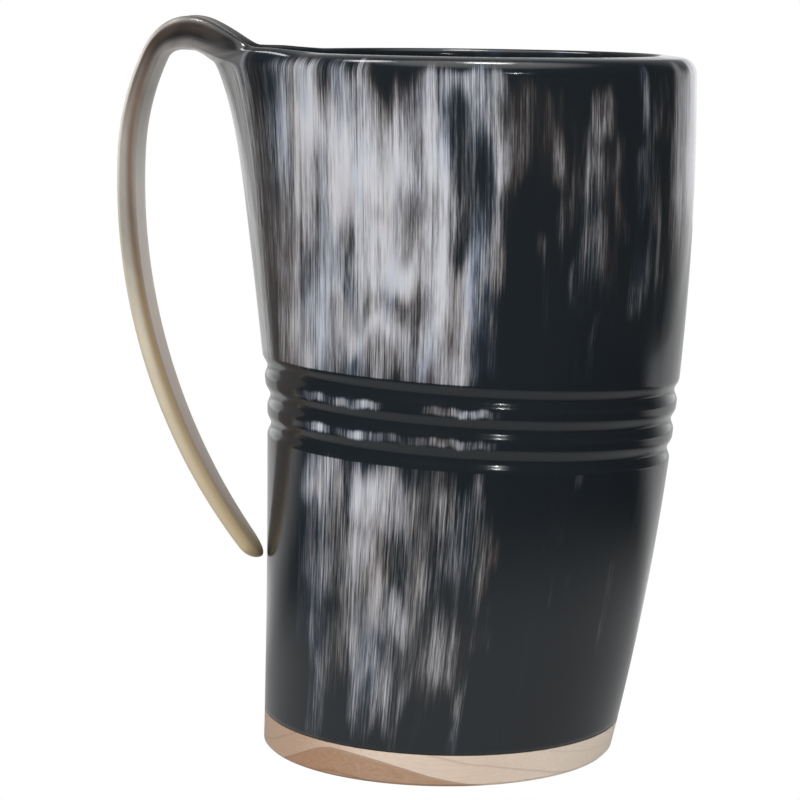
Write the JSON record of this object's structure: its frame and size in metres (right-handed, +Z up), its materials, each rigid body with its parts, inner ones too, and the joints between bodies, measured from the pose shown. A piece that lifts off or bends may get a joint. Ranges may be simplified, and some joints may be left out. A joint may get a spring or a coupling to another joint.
{
  "type": "horn drinking cup",
  "caption": "Tall drinking cup turned from a length of horn, with turned grooves, a handle that is the horn's own wall bent over the rim, and a wooden foot that plugs the base.",
  "frame": {"origin": "centre of the underside of the wooden foot, on the table", "axes": "+Z up out of the mouth, the handle at -X, +X away from the handle, -Y towards a viewer who sees the handle on the left"},
  "size_m": [0.1222, 0.092, 0.1569],
  "materials": {
    "horn": "polished dark horn with pale streaks",
    "wood": "sanded pale wood, oiled",
    "resin": "clear amber resin, smooth"
  },
  "bodies": {
    "root": {"horn_body": "horn", "wooden_base": "wood", "resin_seal": "resin"}
  },
  "joints": []
}
